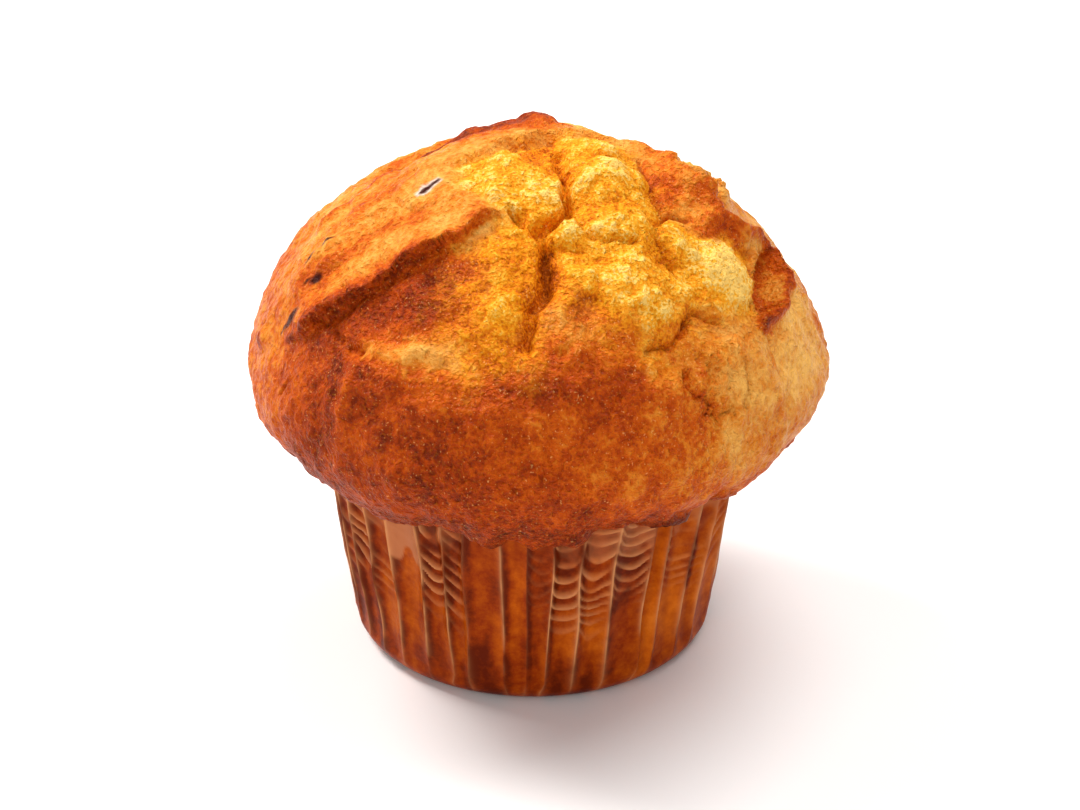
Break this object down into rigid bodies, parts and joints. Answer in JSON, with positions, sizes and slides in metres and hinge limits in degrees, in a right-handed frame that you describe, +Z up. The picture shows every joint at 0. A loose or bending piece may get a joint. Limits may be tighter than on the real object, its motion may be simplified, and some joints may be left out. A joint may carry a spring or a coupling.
{
  "type": "muffin",
  "caption": "A domed muffin with a burst golden crown, baked in and standing in a fluted brown greaseproof paper case.",
  "frame": {"origin": "centre of the paper case's flat bottom, where the muffin stands", "axes": "+Z up through the crown; -Y is the muffin's front, the side shown with the burst; +X is to the right when seen from the front"},
  "size_m": [0.0776, 0.0777, 0.0715],
  "materials": {
    "baked_crumb": "matt baked crust with open crumb",
    "greaseproof_paper": "oily satin"
  },
  "bodies": {
    "root": {"muffin": "baked_crumb", "paper_case": "greaseproof_paper"}
  },
  "joints": []
}
